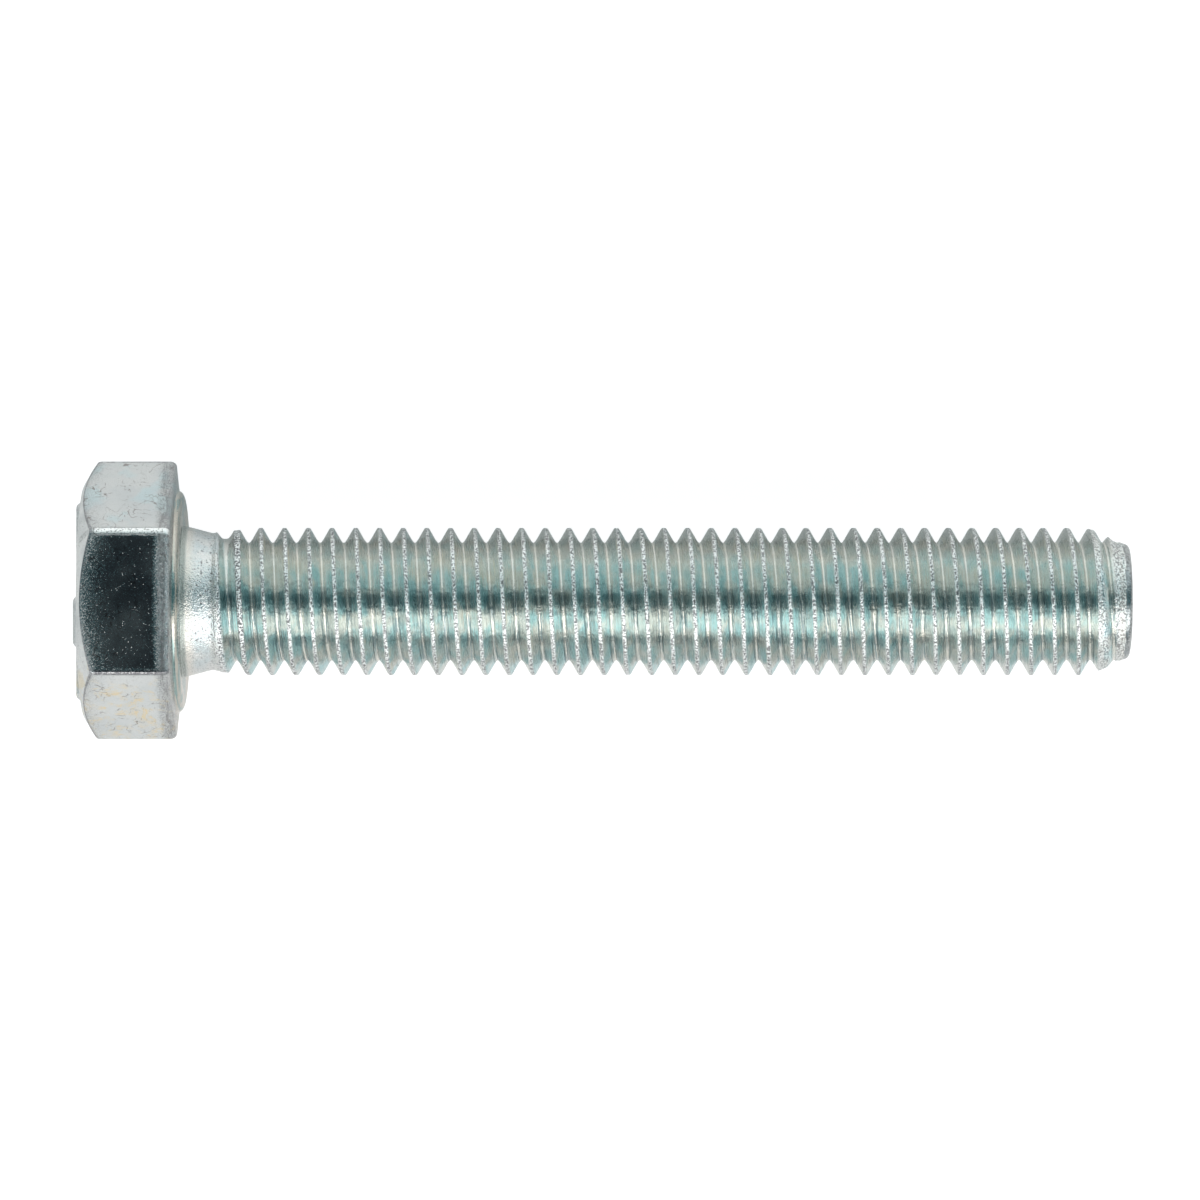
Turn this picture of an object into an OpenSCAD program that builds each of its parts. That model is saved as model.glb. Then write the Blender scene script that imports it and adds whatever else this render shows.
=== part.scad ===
// Hex bolt, M8 x 50, threaded up to the head, right-hand thread.
// One cold-forged and thread-rolled piece. It lies along X: the bearing face under the head is at X = 0,
// the head reaches back to negative X and the shank runs to positive X. Flats of the head face +Z and -Z.

/* [Head] */
// Width across two opposite flats, which a 13 mm wrench grips
across_flats = 13; // [11.5:0.1:19]
// Height of the head, from the bearing face to its flat top
head_height = 5.3; // [3:0.1:8]
// How much the forging rounds off each corner of the hexagon, measured along the radius
corner_trim = 0.18; // [0.05:0.01:0.4]
// Slope of the chamfer around the top of the head, in degrees
chamfer_slope = 30; // [15:1:40]
// How far inside the flats the flat top ends and the chamfer begins
chamfer_inset = 0.42; // [0.1:0.02:1]
// How far the underside falls back between the washer face and the corners
underside_relief = 0.08; // [0.02:0.01:0.3]
// Rounding where the underside meets the corners
underside_round = 0.3; // [0.1:0.05:0.6]

/* [Washer face] */
// How far inside the flats the washer face ends
washer_inset = 0.65; // [0.3:0.05:0.8]
// Height of the washer face above the underside of the hexagon
washer_height = 0.34; // [0.1:0.02:0.8]
// Width of the rounded rim around the washer face
washer_rim = 0.6; // [0.1:0.05:0.9]

/* [Raised bars on top] */
// Height of the plain raised bars
bar_height = 0.25; // [0.1:0.05:0.6]
// Width of each bar
bar_width = 1.1; // [0.4:0.1:1.5]
// Distance from the flats to the middle of the two long bars
long_bar_inset = 4.25; // [3.6:0.05:4.9]
// How far the ends of the long bars stop short of the edge of the flat top
long_bar_margin = 0.1; // [0:0.05:2]
// Length of each of the two short bars
short_bar = 2.9; // [1.6:0.1:4]
// Distance from the flats to the middle of the two short bars
short_bar_inset = 1.95; // [1.8:0.05:2.4]
// How far the short bars are shifted sideways
short_bar_shift = 1.05; // [0:0.05:1.5]

/* [Neck] */
// How much wider the neck is than the thread, along the radius, where it leaves the head
neck_flare = 0.1; // [0:0.02:0.4]
// How much thinner than the thread the far end of the neck is, along the radius
neck_taper = 0.25; // [0.1:0.01:0.5]
// Length of the neck
neck_length = 1.45; // [1:0.05:1.7]
// Radius of the fillet between the neck and the bearing face
neck_fillet = 0.25; // [0.1:0.05:0.6]

/* [Thread] */
// Pitch of the thread
pitch = 1.25; // [1:0.05:1.75]
// Diameter over the crests of the thread
major_d = 7.8; // [6:0.05:9.6]
// Width of the crests
crest_flat = 0.155; // [0.08:0.005:0.3]
// Width of the bottom of the groove
root_flat = 0.17; // [0.05:0.01:0.3]
// Angle between the two flanks of the groove, in degrees
flank_angle = 60; // [50:1:65]
// Distance from the bearing face to the middle of the groove's first full turn, on the +Y side
first_groove = 2.135; // [1.9:0.005:4]
// Distance from the bearing face to where the groove begins to sink in
groove_start = 1.15; // [1:0.05:1.6]
// Turns in which the groove sinks to its full depth
runout_turns = 1.1; // [0.5:0.1:2]
// Distance from the bearing face to the lip where the first, unfinished crest begins
first_crest = 1.75; // [1.71:0.01:1.85]
// How much lower than the others the first crest is, along the radius
first_crest_drop = 0.165; // [0.05:0.005:0.3]
// Length over which the crests grow to their full height after the first
crest_growth = 0.75; // [0.2:0.05:2]

/* [Length and point] */
// Length from the bearing face to the end
bolt_length = 49.8; // [20:0.2:80]
// Length of the tapered point
point_length = 2.2; // [0.8:0.1:4]
// How much thinner than the thread the flat end is, along the radius
point_taper = 1.15; // [0.5:0.05:1.8]
// Rounding around the flat end
point_round = 0.3; // [0.1:0.05:0.6]

/* [Hidden] */

round_sides = 96;
arc_steps = 5;
thread_steps = 24;

flat_r = across_flats / 2;
corner_r = flat_r / cos(30) - corner_trim;
chamfer_r = flat_r - chamfer_inset;
chamfer_drop = (corner_r - chamfer_r) * tan(chamfer_slope);
washer_r = flat_r - washer_inset;
long_bar_reach = sqrt(pow(chamfer_r, 2) - pow(flat_r - long_bar_inset + bar_width / 2, 2));

major_r = major_d / 2;
neck_r = major_r + neck_flare;
neck_end_r = major_r - neck_taper;
low_crest_r = major_r - first_crest_drop;
point_r = major_r - point_taper;

// The crest, the groove's bottom and its two flanks share one pitch, which gives the thread its depth
flank_tan = tan(flank_angle / 2);
thread_depth = (pitch - crest_flat - root_flat) / 2 / flank_tan;
root_r = major_r - thread_depth;

// The cutter reaches a little past the crests, where its turns still just clear each other
cutter_r = major_r + 0.9 * crest_flat / 2 / flank_tan;
start_turn = (groove_start - first_groove) / pitch;
cutter_turns = ceil(bolt_length / pitch) + 1;

// A quarter of an ellipse from [r + a, z] to [r, z + b]
function swelling_quarter(r, z, a, b) = [
  for (i = [0:arc_steps])
    let (t = 90 * i / arc_steps)
    [r + a * cos(t), z + b * sin(t)]
];

// The fillet in a corner, from [r + a, z] on the flat to [r, z + a] on the shank
function fillet(r, z, a) = [
  for (i = [0:arc_steps])
    let (t = 90 * i / arc_steps)
    [r + a * (1 - sin(t)), z + a * (1 - cos(t))]
];

// The bolt is drawn standing on its head and then laid along X
module lay_down() {
  rotate([90, 0, 90])
    children();
}

module hexagon() {
  translate([0, 0, -head_height])
    cylinder(r = flat_r / cos(30), h = head_height, $fn = 6);
}

// The head's outline as a turned shape: flat top, chamfer, trimmed corners and underside
module head_envelope() {
  underside = -washer_height - underside_relief;
  round_r = corner_r - underside_round;
  round_start = underside - underside_round;
  rotate_extrude($fn = round_sides)
    polygon(concat(
      [
        [0, -head_height],
        [chamfer_r, -head_height],
        [corner_r, -head_height + chamfer_drop]
      ],
      swelling_quarter(round_r, round_start, underside_round, underside_round),
      [
        [washer_r, -washer_height],
        [0, -washer_height]
      ]
    ));
}

// The washer face, with its rounded rim. It sinks into the hexagon, so the two are one solid
module washer_face() {
  flat_end = washer_r - washer_rim;
  rotate_extrude($fn = round_sides)
    polygon(concat(
      [
        [0, -head_height / 2],
        [flat_end, -head_height / 2]
      ],
      swelling_quarter(flat_end, -washer_height, washer_rim, washer_height),
      [[0, 0]]
    ));
}

// A plain bar with round ends, standing on the flat top
module raised_bar(length, place, shift) {
  straight = length - bar_width;
  translate([shift, place, -head_height - bar_height])
    linear_extrude(height = 2 * bar_height)
      union() {
        square([straight, bar_width], center = true);
        for (end = [-1, 1])
          translate([end * straight / 2, 0])
            circle(d = bar_width, $fn = 32);
      }
}

module raised_bars() {
  long_bar = 2 * (long_bar_reach - long_bar_margin);
  for (side = [-1, 1]) {
    raised_bar(long_bar, side * (flat_r - long_bar_inset), 0);
    raised_bar(short_bar, side * (flat_r - short_bar_inset), -side * short_bar_shift);
  }
}

module head() {
  intersection() {
    hexagon();
    head_envelope();
  }
  washer_face();
  raised_bars();
}

// The shank before its groove is cut: fillet, tapered neck, the low first crest, full crests and the point
module shank_blank() {
  low_crest_end = first_groove + pitch / 2;
  rotate_extrude($fn = round_sides)
    polygon(concat(
      [
        [0, -head_height / 2],
        [neck_r, -head_height / 2]
      ],
      fillet(neck_r, 0, neck_fillet),
      [
        [neck_end_r, neck_length],
        [low_crest_r, first_crest],
        [low_crest_r, low_crest_end],
        [major_r, low_crest_end + crest_growth],
        [major_r, bolt_length - point_length]
      ],
      swelling_quarter(point_r, bolt_length - point_round, point_round, point_round),
      [[0, bolt_length]]
    ));
}

// One long cutter of trapezoid section that winds round the shank and runs out past its end
module groove() {
  steps = cutter_turns * thread_steps;
  function turn(i) = start_turn + i / thread_steps;
  function bottom_r(i) = max(root_r, major_r - thread_depth * i / thread_steps / runout_turns);
  function half_width(i) = root_flat / 2 + (cutter_r - bottom_r(i)) * flank_tan;
  function spot(i, r, dz) = [
    r * cos(360 * turn(i)),
    r * sin(360 * turn(i)),
    first_groove + pitch * turn(i) + dz
  ];
  sections = [
    for (i = [0:steps]) each [
      spot(i, cutter_r, -half_width(i)),
      spot(i, bottom_r(i), -root_flat / 2),
      spot(i, bottom_r(i), root_flat / 2),
      spot(i, cutter_r, half_width(i))
    ]
  ];
  sides = [
    for (i = [0:steps - 1])
      for (side = [0:3])
        let (near = 4 * i + side, next = 4 * i + (side + 1) % 4)
        each [[near, near + 4, next + 4], [near, next + 4, next]]
  ];
  last = 4 * steps;
  ends = [[0, 1, 2, 3], [last + 3, last + 2, last + 1, last]];
  polyhedron(sections, concat(sides, ends), convexity = 10);
}

module hex_bolt() {
  color([0.78, 0.8, 0.8])
    lay_down()
      difference() {
        union() {
          head();
          shank_blank();
        }
        groove();
      }
}

hex_bolt();
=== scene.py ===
import math

import bpy
import numpy as np
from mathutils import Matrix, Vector, geometry


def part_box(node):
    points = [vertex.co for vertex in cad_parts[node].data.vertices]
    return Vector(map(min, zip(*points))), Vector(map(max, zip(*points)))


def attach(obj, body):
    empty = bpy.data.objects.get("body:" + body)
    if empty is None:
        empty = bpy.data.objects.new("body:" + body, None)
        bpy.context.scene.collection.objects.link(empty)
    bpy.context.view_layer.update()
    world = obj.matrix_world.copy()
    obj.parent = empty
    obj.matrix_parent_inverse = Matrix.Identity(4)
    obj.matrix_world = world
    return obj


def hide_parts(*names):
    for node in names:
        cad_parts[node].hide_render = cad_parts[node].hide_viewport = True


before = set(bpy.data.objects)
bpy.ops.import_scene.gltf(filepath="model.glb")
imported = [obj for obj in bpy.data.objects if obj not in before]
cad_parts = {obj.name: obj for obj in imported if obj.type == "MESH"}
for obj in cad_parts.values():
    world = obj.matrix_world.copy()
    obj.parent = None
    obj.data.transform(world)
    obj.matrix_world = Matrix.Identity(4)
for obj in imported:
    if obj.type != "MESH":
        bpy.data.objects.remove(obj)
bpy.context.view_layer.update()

# ---------------------------------------------------------------------------------------------
# Hexagon of the head
# The part that a wrench grips, in zinc-plated steel. It is upset from the end of the wire in a cold
# header and its six flats are trimmed, so its edges are rounded and the flats roll over underneath.
# ---------------------------------------------------------------------------------------------
mm = 0.001
low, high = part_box("hex_bolt")

head_height = 5.3 * mm
flat_r = high.z - 0.05 * mm
chamfer_r = flat_r - 0.37 * mm
chamfer_slope = math.radians(30)
top_edge_round = 0.18 * mm
flat_edge_round = 0.06 * mm
corner_edge_round = 0.15 * mm
rollover_length = 0.36 * mm
rollover_depth = 0.27 * mm
underside = -0.42 * mm

# How round and worn the six edges between the flats are, and how dark each is painted, from +Y round
# through +Z
# The darkest, the edge at 120 degrees, is painted dark to stand in for a dark reflection there
side_edge_rounds = [0.4 * mm, 0.4 * mm, 0.1 * mm, 1.2 * mm, 0.42 * mm, 0.3 * mm]
side_edge_wear = [0.9, 1.0, 0.3, 0.6, 1.0, 0.7]
side_edge_darkness = [0.0, 0.0, 1.0, 0.3, 0.0, 0.4]

# Every point says how worn it is, and how dark it is painted on the head, or how deep it lies in the
# groove on the thread, from 0 to 1
points = []
worn = []
dark_edge_or_groove = []
faces = []
face_finish = []

FLATS, TOP, WASHER, NECK, THREAD, END = range(6)

turn_steps = 120
plain_angles = [360 * i / turn_steps for i in range(turn_steps)]
edge_offsets = [0.4, 0.8, 1.2, 1.6, 2.1]
head_angles = sorted(plain_angles + [
    (edge + side * offset) % 360
    for edge in range(0, 360, 60) for side in (-1, 1) for offset in edge_offsets
])


# The depth is how dark a point of the head is painted, or how deep a point of the thread lies in the
# groove
def add_point(x, y, z, wear=0.0, depth=0.0):
    points.append((x, y, z))
    worn.append(wear)
    dark_edge_or_groove.append(depth)
    return len(points) - 1


def add_round_point(x, radius, angle, wear=0.0, depth=0.0):
    """A point at a distance from the axis. The angle goes from +Y to +Z."""
    turn = math.radians(angle)
    return add_point(x, radius * math.cos(turn), radius * math.sin(turn), wear, depth)


def add_face(corners, finish):
    faces.append(corners)
    face_finish.append(finish)


def skin(inner, outer, finish):
    """Faces between two closed rings of points."""
    count = len(inner)
    for i in range(count):
        j = (i + 1) % count
        add_face((inner[i], inner[j], outer[j], outer[i]), finish)


def off_edge(angle):
    """Angle to the nearest of the six edges of the hexagon, in degrees."""
    return abs((angle + 30) % 60 - 30)


def hexagon_r(angle):
    """Distance from the axis to the hexagon, with its six edges rounded."""
    off = math.radians(off_edge(angle))
    edge_round = side_edge_rounds[round(angle / 60) % 6]
    middle = (flat_r - edge_round) / math.cos(math.radians(30))
    sideways = middle * math.sin(off)
    to_tangent = math.atan2(edge_round / 2, middle + edge_round * math.cos(math.radians(30)))
    if off < to_tangent:
        return middle * math.cos(off) + math.sqrt(edge_round ** 2 - sideways ** 2)
    return flat_r / math.cos(math.radians(30) - off)


def ease(value):
    value = min(1.0, max(0.0, value))
    return value * value * (3 - 2 * value)


def edge_wear(angle):
    return side_edge_wear[round(angle / 60) % 6] * (1 - ease((off_edge(angle) - 1.2) / 1.2))


# Painted darkening along an edge, which on the edge at 120 degrees stands in for a dark reflection
def edge_darkness(angle):
    return side_edge_darkness[round(angle / 60) % 6] * (1 - ease((off_edge(angle) - 0.8) / 0.8))


def head_ring(x_of, r_of, wear_of, darkness_of=lambda a: 0.0):
    """A ring of points round the head. Each of the four values may change with the angle."""
    return [add_round_point(x_of(a), r_of(a), a, wear_of(a), darkness_of(a)) for a in head_angles]


def corner_share(angle):
    """0 in the middle of a flat and about 1 on an edge."""
    return (hexagon_r(angle) - flat_r) / (hexagon_r(0) - flat_r)


def chamfer_x(radius):
    return -head_height + (radius - chamfer_r) * math.tan(chamfer_slope)


def along_chamfer_edge(angle, t):
    """X and radius on the rounded edge between the chamfer, where t is 0, and a flat, where t is 1."""
    radius = hexagon_r(angle)
    reach = flat_edge_round + (corner_edge_round - flat_edge_round) * corner_share(angle)
    x = chamfer_x(radius)
    start = (x - reach * math.sin(chamfer_slope), radius - reach * math.cos(chamfer_slope))
    end = (x + reach, radius)
    return [
        (1 - t) ** 2 * start[k] + 2 * t * (1 - t) * (x, radius)[k] + t * t * end[k] for k in (0, 1)
    ]


rings = []
ring_finish = []

# The flat top turns into the chamfer
for t in (0, 0.04, 0.28, 0.5, 0.72, 0.96, 1):
    radius = chamfer_r + top_edge_round * (math.cos(chamfer_slope) * t * t - (1 - t) ** 2)
    x = -head_height + top_edge_round * math.sin(chamfer_slope) * t * t
    rings.append(head_ring(lambda a: x, lambda a: radius, lambda a: 0.5))
    ring_finish.append(TOP)
bend_r = chamfer_r + top_edge_round * math.cos(chamfer_slope)
for share in (0.12, 0.4, 0.7, 0.95):
    def chamfer_r_at(a):
        return bend_r + (along_chamfer_edge(a, 0)[1] - bend_r) * share
    rings.append(head_ring(lambda a: chamfer_x(chamfer_r_at(a)), chamfer_r_at, edge_wear))
    ring_finish.append(TOP)

# The chamfer's rounded edge, painted with a darker line, leads to the flats
for t in (0, 0.2, 0.4, 0.6, 0.8, 1):
    rings.append(head_ring(
        lambda a: along_chamfer_edge(a, t)[0], lambda a: along_chamfer_edge(a, t)[1],
        lambda a: 0.5, lambda a: 0.8 if 0.1 < t < 0.9 else 0.0
    ))
    ring_finish.append(TOP if t < 0.3 else FLATS)

# The flats: how far along each ring lies, and how frosted the band there is
rollover_start = underside - rollover_length
side_bands = [
    (0.03, 0.4), (0.1, 0.26), (0.18, 0.16), (0.28, 0.08), (0.4, 0.0), (0.6, 0.0), (0.86, 0.02),
    (0.9, 0.3), (0.94, 0.6), (0.98, 0.72),
]
for share, band_wear in side_bands:
    def side_x(a):
        start = along_chamfer_edge(a, 1)[0]
        return start + (rollover_start - start) * share
    rings.append(head_ring(side_x, hexagon_r, lambda a: max(band_wear, edge_wear(a)), edge_darkness))
    ring_finish.append(FLATS)

# The flats roll over to the underside, and are painted darker towards it
for t in (0, 0.1, 0.2, 0.35, 0.5, 0.65, 0.8, 0.9, 1):
    swing = math.radians(90 * t)
    rings.append(head_ring(
        lambda a: rollover_start + rollover_length * math.sin(swing),
        lambda a: hexagon_r(a) - rollover_depth * (1 - math.cos(swing)),
        lambda a: max(0.8 - 0.5 * t, edge_wear(a)),
        lambda a: max(0.3 * t, edge_darkness(a))
    ))
    ring_finish.append(FLATS)

# The zinc's finishes, from FLATS to END in that order. Their sizes are millimetres on the part
finishes = []


def start_finish(name):
    material = bpy.data.materials.new(name)
    material.use_nodes = True
    shader = material.node_tree.nodes["Principled BSDF"]
    shader.inputs["Metallic"].default_value = 1.0
    finishes.append(material)
    return material.node_tree, shader


def feed(tree, socket, source):
    """Links a socket to a node's output, or sets it to a number or colour."""
    if isinstance(source, bpy.types.NodeSocket):
        tree.links.new(source, socket)
    else:
        socket.default_value = source


def spot_on(tree, stretch=(1, 1, 1), tilt=0.0):
    """Places on the part in millimetres. A stretch makes a texture longer along X, Y or Z."""
    mapping = tree.nodes.new("ShaderNodeMapping")
    mapping.vector_type = "TEXTURE"
    mapping.inputs["Scale"].default_value = [mm * s for s in stretch]
    mapping.inputs["Rotation"].default_value = (0, 0, math.radians(tilt))
    coordinates = tree.nodes.new("ShaderNodeTexCoord")
    tree.links.new(coordinates.outputs["Object"], mapping.inputs["Vector"])
    return mapping.outputs["Vector"]


def mottle(tree, spot, size, detail=3.0, bite=0.5, swirl=0.0):
    """Soft cloudy noise, mostly from 0.3 to 0.7, with clouds of about the given size."""
    texture = tree.nodes.new("ShaderNodeTexNoise")
    feed(tree, texture.inputs["Vector"], spot)
    texture.inputs["Scale"].default_value = 1 / size
    texture.inputs["Detail"].default_value = detail
    texture.inputs["Roughness"].default_value = bite
    texture.inputs["Distortion"].default_value = swirl
    return texture.outputs["Fac"]


def between(tree, value, start, stop, low_value=0.0, high_value=1.0):
    """Eases from the low to the high value as the value goes from start to stop."""
    node = tree.nodes.new("ShaderNodeMapRange")
    node.interpolation_type = "SMOOTHSTEP"
    feed(tree, node.inputs["Value"], value)
    feed(tree, node.inputs["From Min"], start)
    feed(tree, node.inputs["From Max"], stop)
    feed(tree, node.inputs["To Min"], low_value)
    feed(tree, node.inputs["To Max"], high_value)
    return node.outputs["Result"]


def sums(tree, operation, first_value, second_value=0.0):
    """One step of arithmetic, such as MULTIPLY or MAXIMUM."""
    node = tree.nodes.new("ShaderNodeMath")
    node.operation = operation
    feed(tree, node.inputs[0], first_value)
    feed(tree, node.inputs[1], second_value)
    return node.outputs[0]


def tint(tree, share, under, over):
    """Lays one colour over another, to the given share."""
    node = tree.nodes.new("ShaderNodeMix")
    node.data_type = "RGBA"
    feed(tree, node.inputs[0], share)
    feed(tree, node.inputs[6], under if isinstance(under, bpy.types.NodeSocket) else (*under, 1))
    feed(tree, node.inputs[7], over if isinstance(over, bpy.types.NodeSocket) else (*over, 1))
    return node.outputs[2]


def specks(tree, spot, spacing, radius, share):
    """Round spots scattered over the surface, kept on a share of the places."""
    texture = tree.nodes.new("ShaderNodeTexVoronoi")
    feed(tree, texture.inputs["Vector"], spot)
    texture.inputs["Scale"].default_value = 1 / spacing
    split = tree.nodes.new("ShaderNodeSeparateColor")
    feed(tree, split.inputs[0], texture.outputs["Color"])
    kept = sums(tree, "LESS_THAN", split.outputs[0], share)
    spots = between(tree, texture.outputs["Distance"], radius / spacing, 0.2 * radius / spacing)
    return sums(tree, "MULTIPLY", kept, spots)


def scratches(tree, spot, size, width, share):
    """Fine winding lines, broken up so that only a share of their length shows."""
    line = sums(tree, "ABSOLUTE", sums(tree, "SUBTRACT", mottle(tree, spot, size, 1.0), 0.5))
    line = between(tree, line, width, 0.25 * width)
    gaps = mottle(tree, spot, size / 3.1, 2.0)
    return sums(tree, "MULTIPLY", line, between(tree, gaps, 0.62 - share, 0.68 - share))


def relief(tree, height, depth, under=None):
    """Raises or sinks the surface by the depth, in metres, where the height is 1."""
    node = tree.nodes.new("ShaderNodeBump")
    node.inputs["Distance"].default_value = depth
    feed(tree, node.inputs["Height"], height)
    if under is not None:
        feed(tree, node.inputs["Normal"], under)
    return node.outputs["Normal"]


def mark(tree, name):
    """A value that the mesh carries on its points, such as how worn they are."""
    node = tree.nodes.new("ShaderNodeAttribute")
    node.attribute_name = name
    return node.outputs["Fac"]


def part_axis(tree, spot, axis):
    """The place along X, Y or Z, which are 0, 1 and 2."""
    node = tree.nodes.new("ShaderNodeSeparateXYZ")
    feed(tree, node.inputs[0], spot)
    return node.outputs[axis]


# The flats are bright where the tools left them smooth. They carry scuffs, small dents and, along
# their edges, a frosted band, and the passivation has dried amber on some of them
tree, shader = start_finish("scuffed_zinc")
spot = spot_on(tree)
patches = mottle(tree, spot, 2.4, 4.0, 0.6)
grain = mottle(tree, spot, 0.1, 3.0, 0.6)
rough_grain = mottle(tree, spot, 0.06, 3.0, 0.7)
frost = sums(tree, "ADD", mark(tree, "worn"), sums(tree, "MULTIPLY", rough_grain, 1.6))
frost = between(tree, frost, 0.9, 1.9)
frost_grain = sums(tree, "MULTIPLY", frost, grain)
hairlines = scratches(tree, spot_on(tree, (6, 1, 1), 36), 0.9, 0.007, 0.14)
scuffs = scratches(tree, spot, 2.4, 0.005, 0.12)
dotted = between(tree, mottle(tree, spot, 0.1, 2.0), 0.46, 0.56)
lines = sums(tree, "MULTIPLY", sums(tree, "MAXIMUM", hairlines, scuffs), dotted)
dents = sums(
    tree, "MAXIMUM", specks(tree, spot, 0.3, 0.032, 0.3), specks(tree, spot, 0.15, 0.02, 0.4)
)
colour = tint(tree, between(tree, patches, 0.35, 0.65), (0.54, 0.555, 0.56), (0.60, 0.605, 0.60))
far_side = between(tree, part_axis(tree, spot, 1), 2.5, 5.0)
cyan = between(tree, mottle(tree, spot, 1.6, 2.0), 0.5, 0.66, 0.0, 0.5)
colour = tint(tree, sums(tree, "MULTIPLY", cyan, far_side), colour, (0.47, 0.62, 0.65))
near_side = between(tree, part_axis(tree, spot, 1), -3.6, -5.0)
amber_cloud = mottle(tree, spot_on(tree, (1, 1.7, 1), 35), 1.15, 3.0, 0.55, 1.2)
amber = between(tree, amber_cloud, 0.46, 0.62, 0.0, 0.85)
strands = mottle(tree, spot_on(tree, (1, 1.4, 1), 35), 0.9, 4.0, 0.6, 1.6)
strands = sums(tree, "ABSOLUTE", sums(tree, "SUBTRACT", strands, 0.5))
amber = sums(tree, "MULTIPLY", amber, between(tree, strands, 0.07, 0.01, 0.2, 1.0))
colour = tint(tree, sums(tree, "MULTIPLY", amber, near_side), colour, (0.68, 0.55, 0.34))
dry_lines = scratches(tree, spot_on(tree, (1, 1, 1.3), -40), 0.7, 0.022, 0.18)
dry_specks = sums(
    tree, "MAXIMUM", specks(tree, spot, 0.17, 0.045, 0.4), specks(tree, spot, 0.1, 0.03, 0.5)
)
grime = sums(tree, "MAXIMUM", sums(tree, "MAXIMUM", lines, dry_lines), dry_specks)
grimy_places = between(tree, mottle(tree, spot, 1.0, 3.0), 0.42, 0.6, 0.14, 0.85)
grime = sums(tree, "MULTIPLY", grime, grimy_places)
colour = tint(tree, grime, colour, (0.24, 0.21, 0.20))
rubbed = mottle(tree, spot_on(tree, (1, 9, 9)), 0.16, 2.0)
dusty = sums(
    tree, "MAXIMUM", between(tree, rough_grain, 0.46, 0.54, 0.1, 0.95), between(tree, rubbed, 0.52, 0.6)
)
colour = tint(tree, sums(tree, "MULTIPLY", frost, dusty), colour, (0.17, 0.165, 0.165))
bright_edge = between(tree, mark(tree, "worn"), 0.85, 1.0, 0.0, 0.9)
bright_edge = sums(tree, "MULTIPLY", bright_edge, between(tree, grain, 0.36, 0.5))
colour = tint(tree, bright_edge, colour, (0.95, 0.95, 0.94))
# Painted darkening along the edges, along the chamfer's edge and towards the underside; on the edge at
# 120 degrees it is a painted dark reflection
dark_edge_lines = sums(tree, "MULTIPLY", mark(tree, "dark_edge_or_groove"), between(tree, grain, 0.3, 0.55, 0.25, 1.0))
colour = tint(tree, dark_edge_lines, colour, (0.17, 0.17, 0.18))
feed(tree, shader.inputs["Base Color"], colour)
roughness = between(tree, patches, 0.3, 0.7, 0.13, 0.2)
feed(tree, shader.inputs["Roughness"], sums(tree, "ADD", roughness, sums(tree, "MULTIPLY", frost, 0.2)))
normal = relief(tree, mottle(tree, spot, 1.3, 2.0), 0.008 * mm)
normal = relief(tree, lines, -0.0016 * mm, normal)
normal = relief(tree, dents, -0.005 * mm, normal)
feed(tree, shader.inputs["Normal"], relief(tree, frost_grain, 0.015 * mm, normal))

# The chamfer and the flat top are turned and pressed, so they're duller, with fine pits
tree, shader = start_finish("pressed_zinc")
spot = spot_on(tree)
patches = mottle(tree, spot, 1.7, 4.0, 0.6)
grain = mottle(tree, spot, 0.11, 3.0, 0.6)
pits = specks(tree, spot, 0.26, 0.08, 0.45)
lines = scratches(tree, spot, 0.8, 0.022, 0.1)
colour = tint(tree, between(tree, patches, 0.35, 0.65), (0.47, 0.485, 0.49), (0.58, 0.585, 0.58))
near_side = between(tree, part_axis(tree, spot, 1), -2.5, -4.5)
amber = between(tree, mottle(tree, spot, 1.3, 3.0, 0.55, 1.2), 0.55, 0.63, 0.0, 0.6)
colour = tint(tree, sums(tree, "MULTIPLY", amber, near_side), colour, (0.58, 0.48, 0.30))
colour = tint(tree, sums(tree, "MULTIPLY", pits, 0.5), colour, (0.33, 0.32, 0.32))
dusty = sums(tree, "MULTIPLY", mark(tree, "worn"), between(tree, grain, 0.42, 0.6, 0.0, 0.6))
colour = tint(tree, dusty, colour, (0.34, 0.33, 0.33))
feed(tree, shader.inputs["Base Color"], colour)
roughness = between(tree, grain, 0.3, 0.7, 0.24, 0.4)
duller = between(tree, mark(tree, "worn"), 0.7, 1.0, 0.0, 0.3)
feed(tree, shader.inputs["Roughness"], sums(tree, "ADD", roughness, duller))
normal = relief(tree, pits, -0.012 * mm)
normal = relief(tree, lines, -0.004 * mm, normal)
feed(tree, shader.inputs["Normal"], relief(tree, grain, 0.018 * mm, normal))

# ---------------------------------------------------------------------------------------------
# Washer face
# The thin round seat that bears on the work. It is of the same steel as the hexagon and is forged in
# one blow with it. Its rim is rounded, and its face falls back a little towards the neck.
# ---------------------------------------------------------------------------------------------
washer_r = 5.85 * mm
washer_rim = 0.6 * mm
washer_height = 0.34 * mm
neck_root_r = 4.1 * mm
seat_hollow = 0.08 * mm

# The underside of the corners, the rounded rim and the seat
for share in (0.05, 0.5, 0.95):
    rings.append(head_ring(
        lambda a: underside + (-washer_height - underside) * share,
        lambda a: hexagon_r(a) - rollover_depth + (washer_r - hexagon_r(a) + rollover_depth) * share,
        lambda a: 0.6
    ))
    ring_finish.append(FLATS)
for t in (0.02, 0.12, 0.25, 0.4, 0.55, 0.7, 0.85, 0.95, 1):
    swing = math.radians(90 * t)
    rings.append(head_ring(
        lambda a: -washer_height + washer_height * math.sin(swing),
        lambda a: washer_r - washer_rim * (1 - math.cos(swing)),
        lambda a: 0.3
    ))
    ring_finish.append(WASHER)
flat_end_r = washer_r - washer_rim
for share in (0.04, 0.5, 0.93):
    rings.append(head_ring(
        lambda a: -seat_hollow * share, lambda a: flat_end_r + (neck_root_r - flat_end_r) * share,
        lambda a: 0.0
    ))
    ring_finish.append(WASHER)
for inner, outer, finish in zip(rings, rings[1:], ring_finish[1:]):
    skin(inner, outer, finish)

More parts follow.
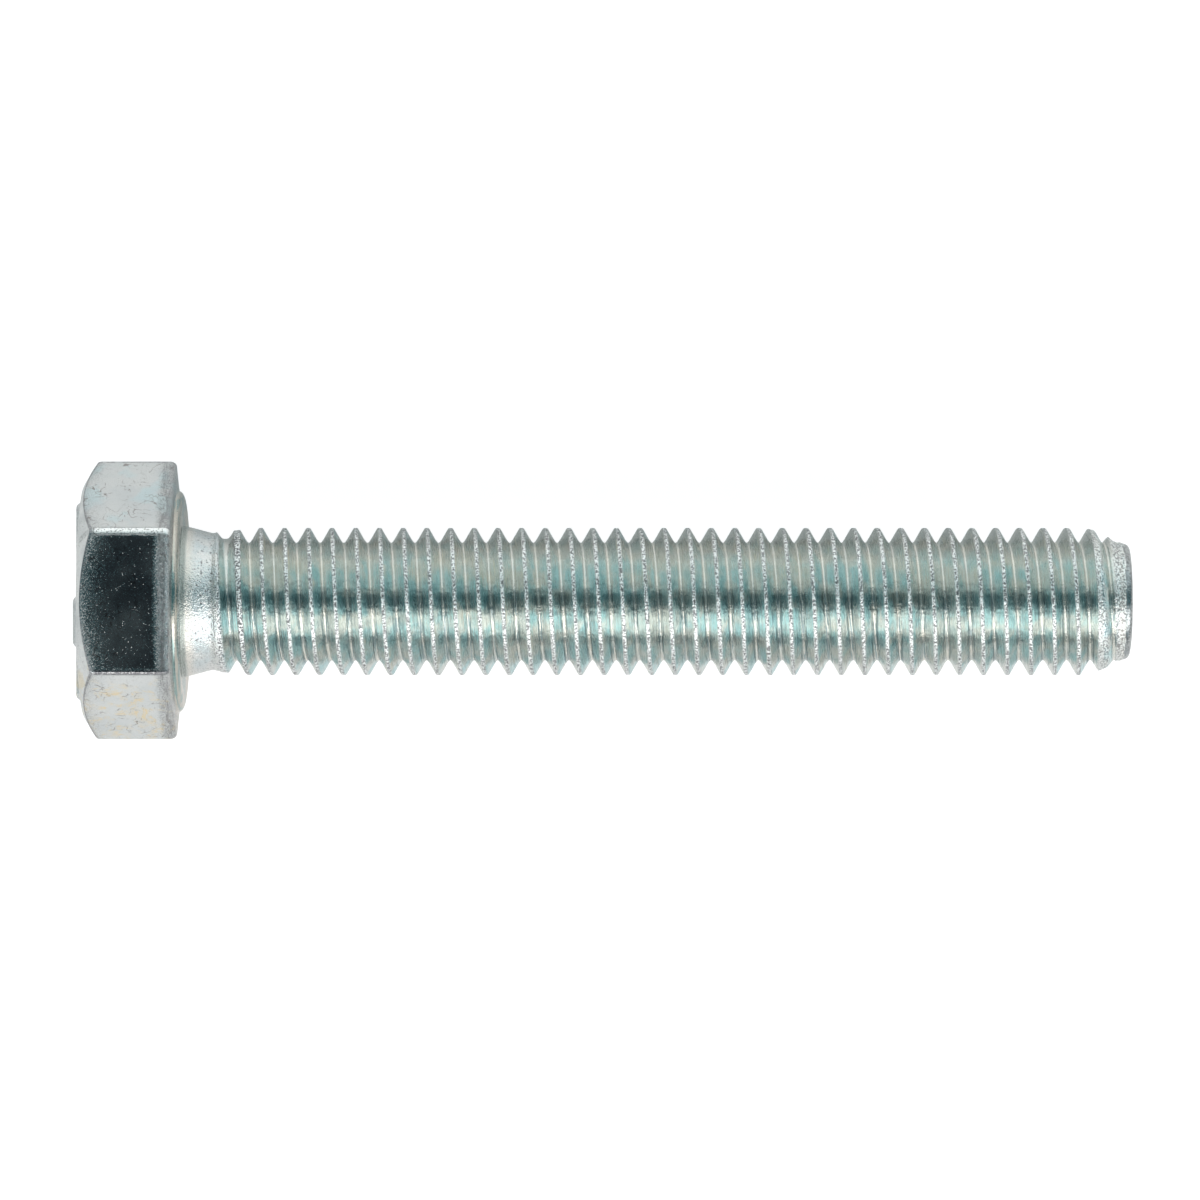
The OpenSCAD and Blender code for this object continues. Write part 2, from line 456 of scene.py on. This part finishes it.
# The plating dries in rings here, in cream and teal
tree, shader = start_finish("seat_zinc")
spot = spot_on(tree)
rings_of_colour = mottle(tree, spot_on(tree, (1, 14, 14)), 0.13, 2.0)
grain = mottle(tree, spot, 0.12, 3.0)
colour = tint(tree, between(tree, rings_of_colour, 0.4, 0.52), (0.25, 0.33, 0.32), (0.48, 0.45, 0.40))
colour = tint(tree, between(tree, grain, 0.55, 0.7, 0.0, 0.4), colour, (0.40, 0.40, 0.39))
feed(tree, shader.inputs["Base Color"], colour)
feed(tree, shader.inputs["Roughness"], between(tree, grain, 0.3, 0.7, 0.18, 0.3))
normal = relief(tree, rings_of_colour, 0.01 * mm)
feed(tree, shader.inputs["Normal"], relief(tree, grain, 0.008 * mm, normal))

# ---------------------------------------------------------------------------------------------
# Raised bars
# Four plain bars on the flat top, two long and two short, in the steel of the head itself. They are
# pressed up by the header's punch. Their ends are round, and their sides lean in a little.
# ---------------------------------------------------------------------------------------------
bar_height = -head_height - low.x
bar_width = 1.1 * mm
long_bar = 10.59 * mm
short_bar = 2.9 * mm

# The length of each bar and where its middle lies across the head and up it
bars = [
    (long_bar, 0.0, 2.25 * mm),
    (long_bar, 0.0, -2.25 * mm),
    (short_bar, -1.05 * mm, 4.55 * mm),
    (short_bar, 1.05 * mm, -4.55 * mm),
]

# From foot to crown: how far the outline is drawn in, in millimetres, and the share of the height.
# The foot spreads a little beyond the sides
foot_flare = 0.03
bar_steps = [
    (-foot_flare, 0.0), (0.0, 0.0), (0.03, 0.03), (0.08, 0.15), (0.14, 0.4), (0.2, 0.66),
    (0.26, 0.85), (0.32, 0.95), (0.38, 0.99), (0.46, 1.0),
]


def bar_outline(length, y, z, inset):
    """The outline of a bar with round ends, drawn in by the inset."""
    radius = bar_width / 2 - inset
    straight = length / 2 - bar_width / 2
    outline = []
    for side in (1, -1):
        for step in range(13):
            turn = math.radians(-90 + 15 * step) + (0 if side == 1 else math.pi)
            outline.append((y + side * straight + radius * math.cos(turn), z + radius * math.sin(turn)))
        for share in (0.25, 0.5, 0.75) if length > 5 * mm else (0.5,):
            outline.append((y + side * straight * (1 - 2 * share), z + side * radius))
    return outline


bar_loops = []
for length, y, z in bars:
    loops = [
        [add_point(-head_height - bar_height * rise, py, pz, 0.2 + 0.8 * (rise > 0.5))
         for py, pz in bar_outline(length, y, z, inset * mm)]
        for inset, rise in bar_steps
    ]
    for lower, upper in zip(loops, loops[1:]):
        skin(upper, lower, TOP)
    add_face(tuple(reversed(loops[-1])), TOP)
    bar_loops.append(loops[0])

# The flat top between the bars is cut into triangles that keep to the outlines of the bars
top_rim = rings[0]
flat_points = [index for loop in [top_rim] + bar_loops for index in loop]
loop_edges = []
first = 0
for loop in [top_rim] + bar_loops:
    count = len(loop)
    loop_edges += [(first + i, first + (i + 1) % count) for i in range(count)]
    first += count
places = [Vector((points[i][1] / mm, points[i][2] / mm)) for i in flat_points]
_, _, triangles, *_ = geometry.delaunay_2d_cdt(places, loop_edges, [], 1, 1e-7)


def inside_bar(y, z):
    for length, bar_y, bar_z in bars:
        along = max(0.0, abs(y - bar_y) - (length - bar_width) / 2)
        if math.hypot(along, z - bar_z) < bar_width / 2 + (foot_flare - 0.0001) * mm:
            return True
    return False


for triangle in triangles:
    corners = [flat_points[i] for i in triangle]
    y = sum(points[i][1] for i in corners) / 3
    z = sum(points[i][2] for i in corners) / 3
    if not inside_bar(y, z):
        add_face(tuple(reversed(corners)), TOP)

# ---------------------------------------------------------------------------------------------
# Neck, thread and point
# The shank is the steel wire itself, squeezed between two dies that roll a right-hand thread into it.
# The neck keeps the blank's own skin, the groove fades out in it, and the end is tapered to a point.
# ---------------------------------------------------------------------------------------------
pitch = 1.25 * mm
major_r = 3.9 * mm
thread_depth = 0.82 * mm
root_half = 0.058 * mm
flank_rise = 1 / math.tan(math.radians(30))
crest_round = 0.2 * mm
root_round = 0.2 * mm
blend_round = 0.06 * mm
first_groove = 2.135 * mm
runout_start = -0.788
runout_turns = 1.1
end_round = 0.3 * mm
end_x = high.x

# The blank's outline from the fillet to the middle of the flat end: places along X and radii
outline = [
    (0.02 - 0.1 * math.cos(turn), 4.08 - 0.1 * math.sin(turn))
    for turn in [math.radians(15 * step) for step in range(7)]
]
outline += [
    (0.3, 3.92), (0.6, 3.84), (0.95, 3.745), (1.3, 3.655), (1.48, 3.61), (1.58, 3.62), (1.67, 3.66),
    (1.8, 3.71), (2.0, 3.74), (2.3, 3.76), (2.76, 3.75), (3.15, 3.85), (3.51, 3.9), (47.4, 3.9),
    (47.9, 3.78), (48.6, 3.5), (48.95, 3.2), (49.15, 3.12), (49.35, 3.13),
]
outline = [(x * mm, r * mm) for x, r in outline]
outline += [
    (end_x - end_round * (1 - math.sin(turn)), 2.75 * mm + end_round * math.cos(turn))
    for turn in [math.radians(15 * step) for step in range(0, 7)]
]
outline += [(end_x, 0.0)]
path = [outline[0][0]]
for (x0, r0), (x1, r1) in zip(outline, outline[1:]):
    on_shank = x1 < end_x - 0.9 * end_round
    path.append(path[-1] + (x1 - x0 if on_shank else math.hypot(x1 - x0, r1 - r0)))
outline_x = [x for x, r in outline]
outline_r = [r for x, r in outline]

# The rows across one pitch, from crest to crest, lie closer where the profile bends
half_rows = [0, 0.05, 0.1, 0.145, 0.185, 0.3, 0.45, 0.55]
rows = [d * mm / pitch for d in half_rows + [0.625]]
rows += [1 - share for share in reversed(rows[1:-1])]
row_count = len(rows)
first_crest = 0.26 * mm
end_face_start = path[-2] + 0.05 * mm
last_turn = math.ceil((end_face_start - first_crest) / pitch)

helix_points = {}
helix_places = []


def helix_point(turn, row, step):
    """
    The index of a point on the shank. The rows wind round it as the thread does. They fan out from a
    plain ring on the neck in turn -1, and close again on the flat end in the last turn.
    """
    if step == turn_steps:
        turn, row, step = (turn + 1, row, 0) if turn < last_turn else (turn, row_count, 0)
    if row == row_count and turn < last_turn:
        turn, row = turn + 1, 0
    if turn == -1 and step == 0:
        turn, row = 0, 0
    key = (turn, row, step)
    if key not in helix_points:
        share = rows[row] if row < row_count else 1.0
        round_share = step / turn_steps
        if turn == -1:
            advance = share * round_share
        elif turn == last_turn:
            advance = turn + round_share + share * (1 - round_share)
        else:
            advance = turn + share + round_share
        helix_points[key] = len(helix_places)
        helix_places.append((first_crest + pitch * advance, 360 * round_share))
    return helix_points[key]


helix_faces = []
for turn in range(-1, last_turn + 1):
    for row in range(row_count):
        for step in range(turn_steps):
            corners = [
                helix_point(turn, row, step), helix_point(turn, row + 1, step),
                helix_point(turn, row + 1, step + 1), helix_point(turn, row, step + 1),
            ]
            kept = [c for i, c in enumerate(corners) if c != corners[i - 1]]
            if len(kept) > 2:
                helix_faces.append(kept[::-1])


def soft_least(a, b, softness):
    near = np.clip(softness - np.abs(a - b), 0, None) / softness
    return np.minimum(a, b) - near * near * softness / 4


along = np.array([place for place, angle in helix_places])
angle = np.array([angle for place, angle in helix_places])
blank_x = np.interp(along, path, outline_x)
blank_r = np.interp(along, path, outline_r)
turns_in = np.round((blank_x - first_groove) / pitch - angle / 360) + angle / 360
from_groove = np.abs(blank_x - first_groove - pitch * turns_in)
sunk = np.clip((turns_in - runout_start) / runout_turns, 0, 1)
root_r = major_r - thread_depth * sunk
flank = root_r + (from_groove - root_half - 0.5 * mm * (1 - sunk)) * flank_rise
groove = -soft_least(-flank, -root_r, root_round)
groove = np.where(sunk > 0, groove, 2 * major_r)
from_crest = pitch / 2 - from_groove
crest_arc = major_r - crest_round + np.sqrt(np.clip(crest_round ** 2 - from_crest ** 2, 0, None))
on_crest = (from_crest < crest_round * math.cos(math.radians(30))) & (blank_x > 1.5 * mm)
groove = np.where(on_crest, np.minimum(groove, crest_arc), groove)
helix_r = soft_least(groove, blank_r, blend_round)
on_end = along > path[-2] - 0.5 * end_round
helix_r = np.where(on_end, blank_r, helix_r)
crest_worn = np.clip((helix_r - np.minimum(blank_r, major_r) + 0.048 * mm) / (0.034 * mm), 0, 1)
crest_worn = np.where(blank_x > 47.6 * mm, 0.7 * crest_worn, crest_worn)
root_deep = np.clip((major_r - thread_depth + 0.09 * mm - helix_r) / (0.07 * mm), 0, 1)

crest_phase = 2 * math.pi * ((blank_x - first_crest) / pitch - angle / 360)
windings = np.stack([
    3 * np.cos(crest_phase), 3 * np.sin(crest_phase),
    1.1 * (helix_r * np.cos(np.radians(angle)) + blank_x) / mm,
], axis=1)

shank_base = len(points)
for k in range(len(along)):
    add_round_point(blank_x[k], helix_r[k], angle[k], float(crest_worn[k]), float(root_deep[k]))
thread_start = 1.9 * mm
point_start = 49.45 * mm
for corners in helix_faces:
    x = sum(along[c] for c in corners) / len(corners)
    finish = NECK if x < thread_start else THREAD if x < point_start else END
    add_face(tuple(shank_base + c for c in corners), finish)

# The bearing face's last ring has the hexagon's extra points, and the neck's first ring doesn't
neck_rings = [
    [add_round_point(x, r, a) for a in plain_angles]
    for x, r in [(-seat_hollow, 4.09 * mm)] + outline[:7]
]
neck_ring = [shank_base + helix_point(-1, 0, step) for step in range(turn_steps)]
for inner, outer in zip(neck_rings, neck_rings[1:] + [neck_ring]):
    skin(inner, outer, NECK)
last_ring = rings[-1]
at_plain = [head_angles.index(a) for a in plain_angles]
for i in range(turn_steps):
    j = (i + 1) % turn_steps
    stop = at_plain[j] if j else len(head_angles)
    outer = [last_ring[k % len(head_angles)] for k in range(at_plain[i], stop + 1)]
    add_face((neck_rings[0][j], neck_rings[0][i]) + tuple(outer), WASHER)

# The flat end closes in plain rings
end_ring = [shank_base + helix_point(last_turn, row_count, step) for step in range(turn_steps)]
end_r = math.hypot(*points[end_ring[1]][1:])
for share in (0.6, 0.25):
    next_ring = [add_round_point(end_x, end_r * share, a) for a in plain_angles]
    skin(end_ring, next_ring, END)
    end_ring = next_ring
centre = add_point(end_x, 0.0, 0.0)
for i in range(turn_steps):
    add_face((end_ring[(i + 1) % turn_steps], centre, end_ring[i]), END)

# The neck keeps the skin of the blank, which shot blasting left pitted and frosted
tree, shader = start_finish("blasted_zinc")
spot = spot_on(tree)
grain = mottle(tree, spot, 0.085, 2.0, 0.6)
far_from_head = between(tree, part_axis(tree, spot, 0), 0.1, 0.9, 0.25, 1.0)
pits = sums(
    tree, "MAXIMUM", specks(tree, spot, 0.14, 0.052, 0.55), specks(tree, spot, 0.25, 0.082, 0.35)
)
pits = sums(tree, "MULTIPLY", pits, far_from_head)
patches = mottle(tree, spot, 0.9, 3.0)
colour = tint(tree, between(tree, patches, 0.35, 0.65), (0.56, 0.60, 0.61), (0.66, 0.66, 0.65))
colour = tint(tree, sums(tree, "MULTIPLY", pits, 0.9), colour, (0.10, 0.10, 0.11))
from_head = part_axis(tree, spot, 0)
# A little way from the head the neck is tinted cream. Right next to the head it is painted darker:
# painted shade in the corner under the head
colour = tint(tree, between(tree, from_head, 0.8, 0.3, 0.0, 0.5), colour, (0.70, 0.63, 0.55))
colour = tint(tree, between(tree, from_head, 0.3, 0.12, 0.0, 0.9), colour, (0.32, 0.35, 0.33))
feed(tree, shader.inputs["Base Color"], colour)
feed(tree, shader.inputs["Roughness"], between(tree, grain, 0.3, 0.7, 0.12, 0.22))
normal = relief(tree, pits, -0.008 * mm)
feed(tree, shader.inputs["Normal"], relief(tree, grain, 0.045 * mm, normal))

# The dies burnish the flanks, which show grey-green through the passivation, and teal that is partly the
# passivation's tint and partly painted reflection. Fine streaks run round with the thread, the crests
# are left rough, and the roots keep a cream line
tree, shader = start_finish("rolled_zinc")
spot = spot_on(tree)
winding = tree.nodes.new("ShaderNodeAttribute")
winding.attribute_name = "winding"
across = winding.outputs["Vector"]
streaks = mottle(tree, across, 1.3, 3.0, 0.6)
crest = mark(tree, "worn")
root = mark(tree, "dark_edge_or_groove")
patches = mottle(tree, spot_on(tree, (2.5, 1, 1)), 1.3, 3.0)
grain = mottle(tree, spot, 0.1, 2.0, 0.6)
dimples = mottle(tree, spot, 0.32, 3.0, 0.6)
colour = tint(tree, between(tree, patches, 0.35, 0.65), (0.58, 0.60, 0.57), (0.65, 0.65, 0.62))
side = part_axis(tree, across, 1)
near_root = between(tree, part_axis(tree, across, 0), -0.2, -2.4, 0.15, 1.0)
softbox_side = between(tree, part_axis(tree, spot, 1), 1.0, 0.1, 0.12, 1.0)
near_root = sums(tree, "MULTIPLY", near_root, softbox_side)
# Teal on the flanks that face the point, stronger towards -Y: partly the passivation's tint, partly a
# painted reflection of the teal room
teal_tint_and_reflection = sums(tree, "MULTIPLY", between(tree, side, 0.2, 2.2), between(tree, patches, 0.35, 0.6))
# The top of the thread, towards +Y, is painted darker and browner: painted shade standing in for the
# reflection of the shaded floor on that side
painted_dark_top = between(tree, sums(tree, "ADD", part_axis(tree, spot, 1), patches), 2.7, 3.9, 0.0, 0.6)
colour = tint(tree, painted_dark_top, colour, (0.40, 0.39, 0.36))
teal_tint_and_reflection = sums(tree, "MULTIPLY", teal_tint_and_reflection, between(tree, part_axis(tree, spot, 1), 3.2, 1.4, 0.4, 0.95))
colour = tint(tree, teal_tint_and_reflection, colour, (0.33, 0.54, 0.56))
cream = sums(tree, "MULTIPLY", root, between(tree, mottle(tree, spot, 1.1, 2.0), 0.35, 0.65, 0.1, 0.9))
colour = tint(tree, cream, colour, (0.70, 0.66, 0.59))
straw_streaks = between(tree, streaks, 0.54, 0.68, 0.0, 0.5)
straw = sums(tree, "MULTIPLY", straw_streaks, between(tree, patches, 0.6, 0.4))
colour = tint(tree, straw, colour, (0.68, 0.62, 0.48))
# Dark teal die streaks near the roots, kept mostly to the -Y side where the softbox band lies: real
# streaks, painted dark as the dark reflections seen in that band
die_lines_and_dark_reflection = sums(tree, "MULTIPLY", between(tree, streaks, 0.5, 0.57), near_root)
colour = tint(tree, sums(tree, "MULTIPLY", die_lines_and_dark_reflection, 0.8), colour, (0.14, 0.22, 0.24))
crest_colour = tint(tree, between(tree, grain, 0.45, 0.54), (0.10, 0.10, 0.11), (0.86, 0.87, 0.87))
colour = tint(tree, sums(tree, "MULTIPLY", crest, 0.9), colour, crest_colour)
feed(tree, shader.inputs["Base Color"], colour)
feed(tree, shader.inputs["Metallic"], sums(tree, "SUBTRACT", 1.0, sums(tree, "MULTIPLY", root, 0.15)))
roughness = between(tree, streaks, 0.3, 0.7, 0.18, 0.3)
feed(tree, shader.inputs["Roughness"], sums(tree, "ADD", roughness, sums(tree, "MULTIPLY", crest, 0.08)))
normal = relief(tree, sums(tree, "MULTIPLY", streaks, near_root), 0.08 * mm)
normal = relief(tree, dimples, 0.03 * mm, normal)
normal = relief(tree, grain, 0.006 * mm, normal)
crest_grain = sums(tree, "MULTIPLY", crest, grain)
feed(tree, shader.inputs["Normal"], relief(tree, crest_grain, 0.05 * mm, normal))

# The end is sheared and pointed, and stays rough
tree, shader = start_finish("sheared_zinc")
spot = spot_on(tree)
grain = mottle(tree, spot, 0.11, 3.0, 0.6)
patches = mottle(tree, spot, 1.2, 3.0)
colour = tint(tree, between(tree, patches, 0.35, 0.65), (0.29, 0.31, 0.32), (0.41, 0.42, 0.42))
colour = tint(tree, between(tree, grain, 0.46, 0.6, 0.0, 0.75), colour, (0.13, 0.14, 0.14))
feed(tree, shader.inputs["Base Color"], colour)
feed(tree, shader.inputs["Roughness"], between(tree, grain, 0.3, 0.7, 0.14, 0.26))
feed(tree, shader.inputs["Normal"], relief(tree, grain, 0.016 * mm))

# ---------------------------------------------------------------------------------------------
# The bolt as one piece
# Head, washer face, bars and shank are one piece of steel, so they are one mesh. It is plated with
# zinc and passivated all over once the thread is rolled, and nothing else is fixed to it.
# ---------------------------------------------------------------------------------------------
mesh = bpy.data.meshes.new("hex_bolt_look")
mesh.from_pydata(points, [], faces)
mesh.update()
bolt = bpy.data.objects.new("bolt", mesh)
bpy.context.scene.collection.objects.link(bolt)
for polygon in mesh.polygons:
    polygon.use_smooth = True
mesh.polygons.foreach_set("material_index", face_finish)
winding_mark = mesh.attributes.new("winding", "FLOAT_VECTOR", "POINT")
all_windings = np.zeros((len(points), 3))
all_windings[shank_base:shank_base + len(windings)] = windings
winding_mark.data.foreach_set("vector", all_windings.ravel())
for name, values in (("worn", worn), ("dark_edge_or_groove", dark_edge_or_groove)):
    attribute = mesh.attributes.new(name, "FLOAT", "POINT")
    attribute.data.foreach_set("value", values)
for material in finishes:
    mesh.materials.append(material)

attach(bolt, "root")
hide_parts("hex_bolt")

# ---------------------------------------------------------------------------------------------
# Floor, light and camera
# A plain white table lies just under the head's lower flat. A long softbox hangs over the bolt on the
# -Y side and a wide, dimmer lamp on the +Y side, with a dark strip between them that bands the metal.
# ---------------------------------------------------------------------------------------------
scene = bpy.context.scene
scene.view_settings.view_transform = "Standard"


def add_floor(name, z, colour, glow):
    reach = 3.0
    floor_mesh = bpy.data.meshes.new(name)
    floor_mesh.from_pydata(
        [(-reach, -reach, z), (reach, -reach, z), (reach, reach, z), (-reach, reach, z)],
        [], [(0, 1, 2, 3)],
    )
    floor = bpy.data.objects.new(name, floor_mesh)
    scene.collection.objects.link(floor)
    paint = bpy.data.materials.new(name + "_paint")
    paint.use_nodes = True
    surface = paint.node_tree.nodes["Principled BSDF"]
    surface.inputs["Base Color"].default_value = (*colour, 1)
    surface.inputs["Roughness"].default_value = 0.9
    surface.inputs["Specular IOR Level"].default_value = 0.0
    surface.inputs["Emission Color"].default_value = (1, 1, 1, 1)
    surface.inputs["Emission Strength"].default_value = glow
    floor_mesh.materials.append(paint)
    return floor


# The camera sees a lit white table. The part mirrors a matt white board that lies just under it
table = add_floor("lit_table", low.z, (0.25, 0.25, 0.25), 0.9)
table.visible_glossy = False
table.visible_diffuse = False
table.visible_shadow = False
board = add_floor("matt_board", low.z - 0.1 * mm, (0.88, 0.845, 0.84), 0.04)
board.visible_camera = False

# The lamps and the camera are centred on the middle of the bolt
middle = 21.9 * mm


def area_light(name, tilt, distance, width, length, radiance, colour):
    """A flat lamp above the part, tilted from overhead towards -Y, in degrees."""
    lamp = bpy.data.lights.new(name, "AREA")
    lamp.shape = "RECTANGLE"
    lamp.size = length
    lamp.size_y = width
    lamp.energy = radiance * math.pi * length * width
    lamp.color = colour
    light = bpy.data.objects.new(name, lamp)
    lean = math.radians(tilt)
    light.location = (middle, -distance * math.sin(lean), distance * math.cos(lean))
    light.rotation_euler = (lean, 0, 0)
    light.visible_camera = False
    scene.collection.objects.link(light)
    return light


area_light("key_softbox", 44.5, 0.3, 0.26, 1.4, 2.85, (1.0, 0.975, 0.955))
area_light("side_fill", -64, 0.5, 0.68, 2.0, 1.04, (0.97, 1.0, 0.985))

# The room is pale near the floor and dark overhead, with some teal towards the two ends of the bolt
world = bpy.data.worlds.new("dim_room")
world.use_nodes = True
room = world.node_tree
direction = room.nodes.new("ShaderNodeTexCoord")
height = part_axis(room, direction.outputs["Generated"], 2)
wall = between(room, height, 0.14, 0.04)
sideways = sums(room, "ABSOLUTE", part_axis(room, direction.outputs["Generated"], 0))
ceiling = tint(room, between(room, sideways, 0.09, 0.32), (0.011, 0.015, 0.019), (0.12, 0.26, 0.29))
room_colour = tint(room, wall, ceiling, (0.85, 0.87, 0.87))
feed(room, room.nodes["Background"].inputs["Color"], room_colour)
scene.world = world

# The camera looks straight down, with a long lens
camera_data = bpy.data.cameras.new("camera")
camera_data.lens = 203
camera_data.sensor_width = 36
camera_data.clip_start = 0.01
camera = bpy.data.objects.new("camera", camera_data)
camera.location = (middle, 0.08 * mm, 357 * mm)
scene.collection.objects.link(camera)
scene.camera = camera
